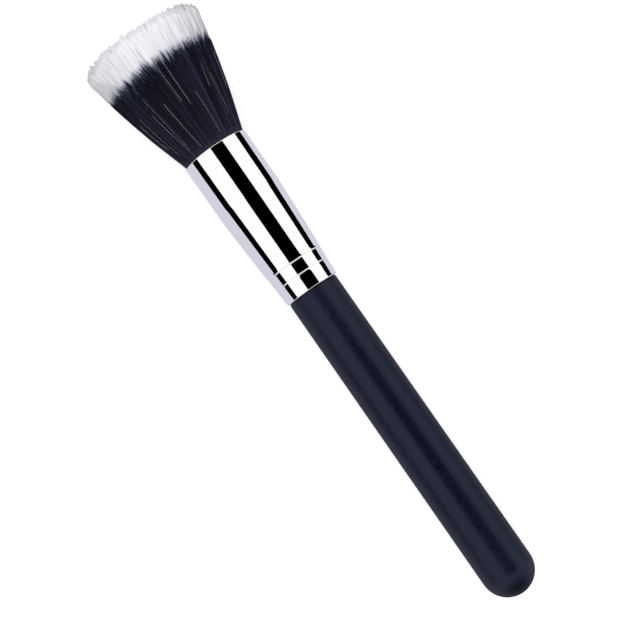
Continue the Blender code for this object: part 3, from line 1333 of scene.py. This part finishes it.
@dataclass(frozen=True)
class Surround:
    """What stands round the brush: white, with black flags, a lavender table and a shaded end.

    The bow bends the flags' edges, the reach is where their corners round off, and the shade lies
    past the butt.
    """

    axis: BrushAxis
    flags: tuple[Flag, ...] = (
        Flag(math.radians(-87.8), math.radians(-64.2)),
        Flag(math.radians(-11.8), math.radians(36.0), math.radians(14.2)),
        Flag(math.radians(83.1), math.radians(111.3)),
    )
    bow: float = 4.7
    bow_power: float = 2.0
    bow_middle: float = 0.045
    bow_reach: float = 0.13
    table: Colour = (0.661, 0.640, 0.742)
    table_edge: Colour = (0.714, 0.700, 0.785)
    table_edge_width: float = math.radians(2.5)
    ambient: Colour = (0.87, 0.87, 0.88)
    reach_middle: float = 0.05
    straight_reach: float = 0.25
    corner_reach: float = 0.10
    corner_power: float = 3.0
    butt_shade: Colour = (0.03, 0.03, 0.04)
    butt_shade_ends: tuple[float, float] = (-0.95, -0.60)

    def on_flag(self, tree: NodeTree, flag: Flag, angle: Socket, tilt: Socket, past: Socket) -> Socket:
        """Tells where a flag stands, with rounded corners at its ends.

        Args:
            tree: The surround's nodes.
            flag: The flag.
            angle: The direction's angle round the brush.
            tilt: How far the direction leans towards the head.
            past: How far the lean is past the straight part of the flags, as a share.

        Returns:
            The socket that is 1 on the flag.
        """
        middle, half = (flag.start + flag.end) / 2, (flag.end - flag.start) / 2
        half_here = tree.math("SUBTRACT", half, tree.math("MULTIPLY", tilt, flag.taper))
        share = tree.math("DIVIDE", tree.apart(angle, middle), half_here)
        return tree.math("LESS_THAN", tree.math("ADD", share, past), 1.0)

    def mirrored(self, tree: NodeTree) -> Socket:
        """Works out what metal sees in each direction.

        Args:
            tree: The surround's nodes.

        Returns:
            The socket with the colour.
        """
        ray = tree.add("ShaderNodeTexCoord").outputs["Generated"]
        aside, above, tilt = (
            tree.add("ShaderNodeVectorMath", {0: ray, 1: way}, operation="DOT_PRODUCT").outputs["Value"]
            for way in (self.axis.right, self.axis.upper, self.axis.along)
        )
        offset = tree.math("MINIMUM", tree.apart(tilt, self.bow_middle), self.bow_reach)
        bowed = tree.math("POWER", offset, self.bow_power)
        wider = tree.math("ADD", tree.math("MULTIPLY", bowed, self.bow), 1.0)
        angle = tree.math("DIVIDE", tree.math("ARCTAN2", aside, above), wider)
        over = tree.math("SUBTRACT", tree.apart(tilt, self.reach_middle), self.straight_reach)
        share = tree.math("DIVIDE", tree.math("MAXIMUM", over, 0.0), self.corner_reach)
        past = tree.math("POWER", share, self.corner_power)
        table_from, table_to = self.flags[-1].end, self.flags[0].start
        middle, half = (table_from + table_to) / 2, (table_from - table_to) / 2
        off = tree.apart(angle, middle)
        colour = tree.blend(tree.math("GREATER_THAN", off, half), WHITE, self.table_edge)
        inner = tree.math("GREATER_THAN", off, half + self.table_edge_width)
        colour = tree.blend(inner, colour, self.table)
        for flag in self.flags:
            colour = tree.blend(self.on_flag(tree, flag, angle, tilt, past), colour, BLACK)
        return tree.blend(tree.spread(tilt, 1.0, 0.0, self.butt_shade_ends), colour, self.butt_shade)

    def build(self) -> None:
        """Hangs the surround: white to the camera, banded to metal, soft light to the rest."""
        world = bpy.data.worlds.new("surround")
        bpy.context.scene.world = world
        world.cycles.sampling_method = "NONE"
        tree = NodeTree(world)
        glossy = tree.add("ShaderNodeLightPath").outputs["Is Glossy Ray"]
        colour = tree.blend(glossy, self.ambient, self.mirrored(tree))
        colour = tree.blend(tree.seen(), colour, WHITE)
        background = tree.add("ShaderNodeBackground", {"Color": colour, "Strength": 1.0})
        tree.add("ShaderNodeOutputWorld", {"Surface": background.outputs["Background"]})


@dataclass(frozen=True)
class Studio:
    """The pale floor and the soft lamps."""

    floor_size: float = 3.0
    floor_drop: float = 0.00005
    floor_colour: Colour = (0.84, 0.84, 0.85)
    floor_glow: float = 0.46
    key_strength: float = 0.54
    fill_strength: float = 0.15
    lamp_softness: float = 0.9
    key_from: Triple = (-0.05, -0.04, 1.0)
    fill_from: Triple = (-0.2, 0.4, 1.0)

    def build_floor(self) -> None:
        """Lays the floor, which looks white and keeps the brush's shadow."""
        bm = bmesh.new()
        bmesh.ops.create_grid(bm, x_segments=1, y_segments=1, size=self.floor_size)
        bmesh.ops.translate(bm, verts=bm.verts, vec=(0, 0, -self.floor_drop))
        material = bpy.data.materials.new("pale_floor")
        tree = NodeTree(material)
        colour = (*self.floor_colour, 1)
        matt = tree.add("ShaderNodeBsdfDiffuse", {"Color": colour}).outputs["BSDF"]
        strength = tree.math("MULTIPLY", tree.seen(), self.floor_glow)
        glow = tree.add("ShaderNodeEmission", {"Strength": strength}).outputs["Emission"]
        both = tree.add("ShaderNodeAddShader", {0: matt, 1: glow}).outputs["Shader"]
        tree.add("ShaderNodeOutputMaterial", {"Surface": both})
        floor = add_mesh("floor", bm, material)
        floor.visible_glossy = False

    def build_lamp(self, name: str, strength: float, source: Triple) -> None:
        """Hangs one large soft lamp.

        Args:
            name: The lamp's name.
            strength: How much light it gives on a surface that faces it.
            source: The direction that it shines from.
        """
        lamp = bpy.data.lights.new(name, "SUN")
        lamp.energy = strength
        lamp.angle = self.lamp_softness
        holder = add_object(name, lamp)
        holder.rotation_euler = Vector(source).to_track_quat("Z", "Y").to_euler()
        holder.visible_glossy = False

    def build(self) -> None:
        """Sets up the floor, the lamps and the plain view."""
        self.build_floor()
        self.build_lamp("key_lamp", self.key_strength, self.key_from)
        self.build_lamp("fill_lamp", self.fill_strength, self.fill_from)
        bpy.context.scene.view_settings.view_transform = "Standard"


@dataclass(frozen=True)
class Viewpoint:
    """The camera: above the brush, a little towards its butt, with the head to the upper left."""

    axis: BrushAxis
    distance: float = 0.430
    aim_along: float = 0.0916
    aim_left: float = 0.0030
    head_lean: float = math.radians(2.4)
    roll: float = math.radians(34.825)
    sensor_width: float = 36.0
    focal_length: float = 88.76
    clip_share: float = 0.01

    def build(self) -> None:
        """Places the camera."""
        back = self.axis.upper * math.cos(self.head_lean) - self.axis.along * math.sin(self.head_lean)
        headwards = self.axis.right.cross(-back)
        right = self.axis.right * math.cos(self.roll) - headwards * math.sin(self.roll)
        above = self.axis.right * math.sin(self.roll) + headwards * math.cos(self.roll)
        aim = self.axis.butt + self.axis.along * self.aim_along - self.axis.right * self.aim_left
        lens = bpy.data.cameras.new("camera")
        lens.sensor_width = self.sensor_width
        lens.lens = self.focal_length
        lens.clip_start = self.distance * self.clip_share
        camera = add_object("camera", lens)
        turn = Matrix((right, above, back)).transposed().to_4x4()
        camera.matrix_world = Matrix.Translation(aim + back * self.distance) @ turn
        bpy.context.scene.camera = camera


def main() -> None:
    """Builds the brush and its studio round the frame."""
    logging.basicConfig(level=logging.INFO, format="%(name)s: %(message)s")
    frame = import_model()
    axis = BrushAxis.from_record(frame["record"])
    spans = {name: axis.span(node) for name, node in frame["nodes"].items()}
    handle, ferrule, white = spans["handle"], spans["ferrule"], spans["white_fibres"]
    shape = HeadShape(
        axis,
        mouth=ferrule.end,
        dark_end=spans["dark_fibres"].end,
        white_end=white.end,
        rim_radius=white.radius,
    )
    Viewpoint(axis).build()
    Surround(axis).build()
    Studio().build()
    Handle(
        axis,
        radius=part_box("handle")[1].y,
        length=ferrule.start - SEAT_GAP,
        tenon_end=handle.end,
    ).build()
    Ferrule(axis, ferrule.start, ferrule.end - ferrule.start).build()
    glue, thread = spans["root_glue"], spans["knot_tie_thread"]
    FibreRoot(axis, white.start, glue.end, thread.end, ferrule.end).build()
    FibreHead(shape).build()
    HiddenJoints(axis).dress(frame["nodes"])


if __name__ == "__main__":
    main()
